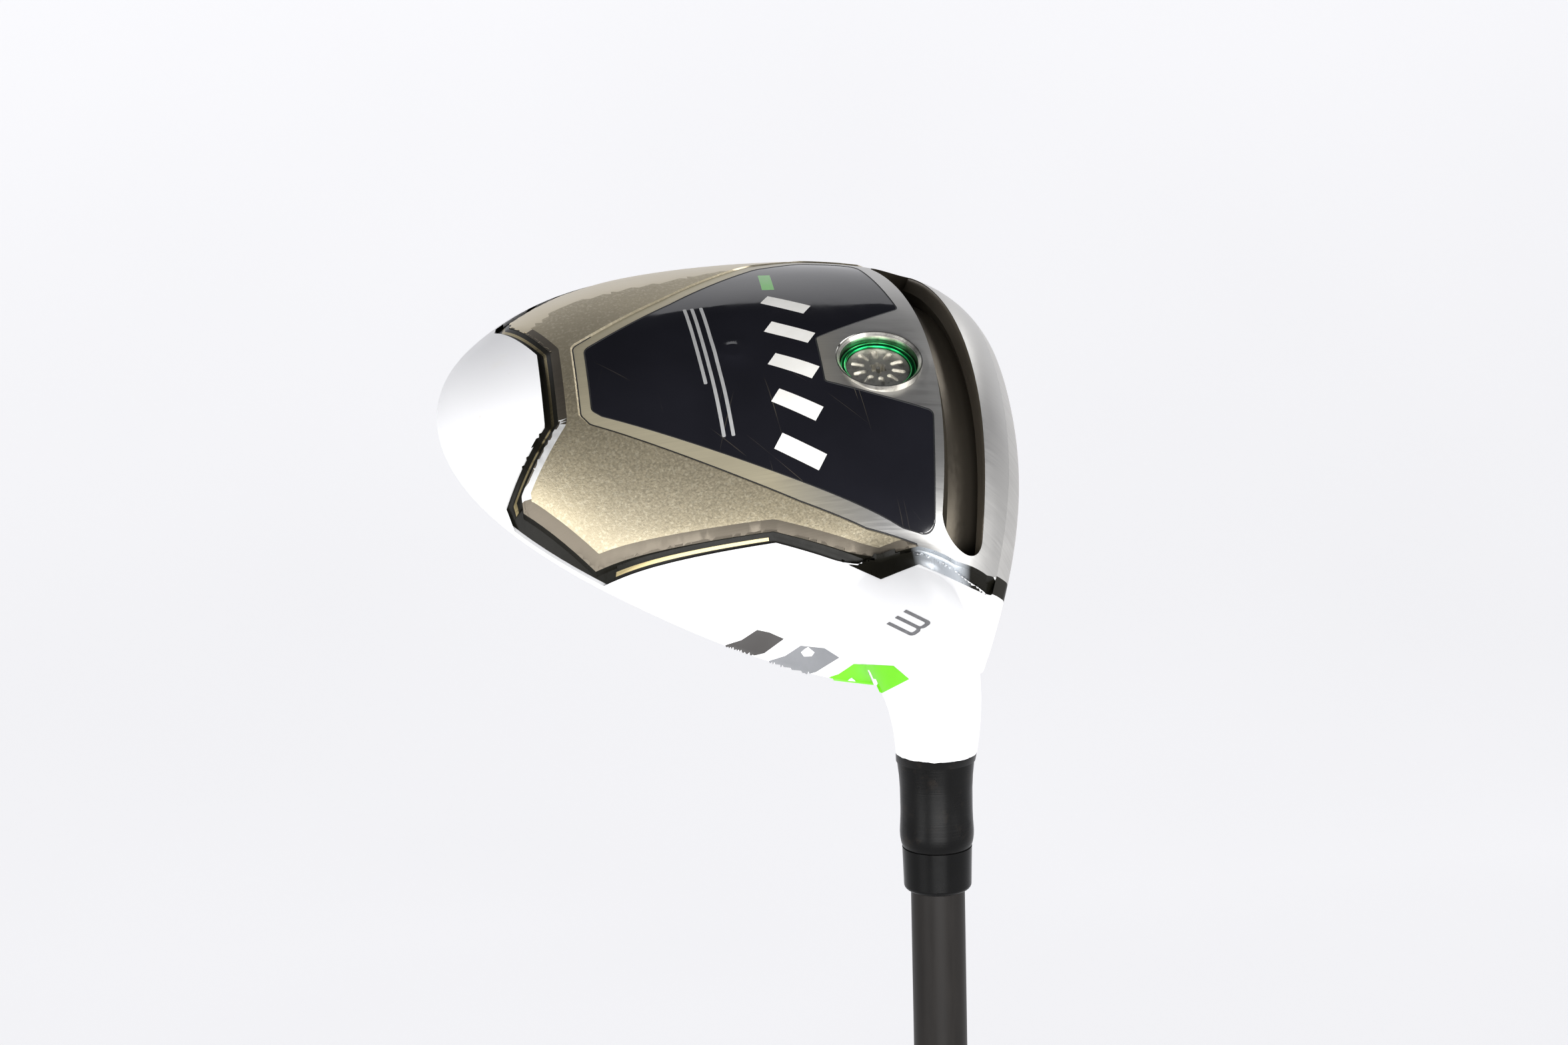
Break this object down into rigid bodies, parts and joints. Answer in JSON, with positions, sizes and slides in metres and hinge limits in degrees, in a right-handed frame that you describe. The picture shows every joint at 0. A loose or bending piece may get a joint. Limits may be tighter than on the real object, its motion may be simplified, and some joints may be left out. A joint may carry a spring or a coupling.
{
  "type": "fairway wood",
  "caption": "Fairway wood golf club: hollow white head with black sole badge, sole slot and screw-in weight, tapered graphite shaft and rubber grip.",
  "frame": {"origin": "centre of the grip's butt end, on the shaft axis", "axes": "+Z along the shaft axis towards the head, +X from the shaft towards the toe, -Y the way the face looks; the club stands grip down"},
  "size_m": [0.1209, 0.1018, 1.1369],
  "materials": {
    "head_steel": "gloss white paint outside, satin bronze and brushed silver sole panels",
    "crown_paint": "gloss white paint over a thin moulded crown",
    "face_steel": "fine brushed steel with shallow score lines",
    "badge_black": "gloss black with light scuffs",
    "tape": "thin double-sided adhesive tape",
    "emblem_white": "gloss white inlay",
    "accent_green": "gloss yellow-green inlay",
    "port_steel": "turned steel with a bright chamfer",
    "hot_melt": "tacky amber hot-melt adhesive",
    "epoxy": "cured epoxy",
    "ferrule_black": "gloss black",
    "pin_brass": "plain brass",
    "shaft_graphite": "gloss charcoal lacquer over carbon fibre",
    "grip_rubber": "matt moulded rubber",
    "ring_green": "green anodised",
    "screw_steel": "turned and machined steel"
  },
  "bodies": {
    "root": {"head_body": "head_steel", "crown_shell": "crown_paint", "face_cup": "face_steel", "sole_badge": "badge_black", "badge_tape": "tape", "badge_emblem": "emblem_white", "badge_accent": "accent_green", "weight_port": "port_steel", "rattle_glue": "hot_melt", "shaft_bond": "epoxy", "ferrule": "ferrule_black", "tip_pin": "pin_brass", "shaft": "shaft_graphite", "grip_tape": "tape", "grip_cap": "grip_rubber", "grip": "grip_rubber"},
    "ring": {"weight_ring": "ring_green"},
    "screw": {"weight_screw": "screw_steel"}
  },
  "joints": [
    {"name": "ring_lift", "type": "slide", "parent": "root", "child": "ring", "axis": [-0.5299, 0, 0.848], "range_m": [0, 0.006]},
    {"name": "screw_turn", "type": "hinge", "parent": "ring", "child": "screw", "pos_m": [0.04039, 0.0005, 1.1235], "axis": [-0.5299, 0, 0.848], "range_deg": [0, 2160]}
  ],
  "couplings": [
    {"joint": "screw_turn", "follows": "ring_lift", "rad_per_m": 6283.2}
  ]
}
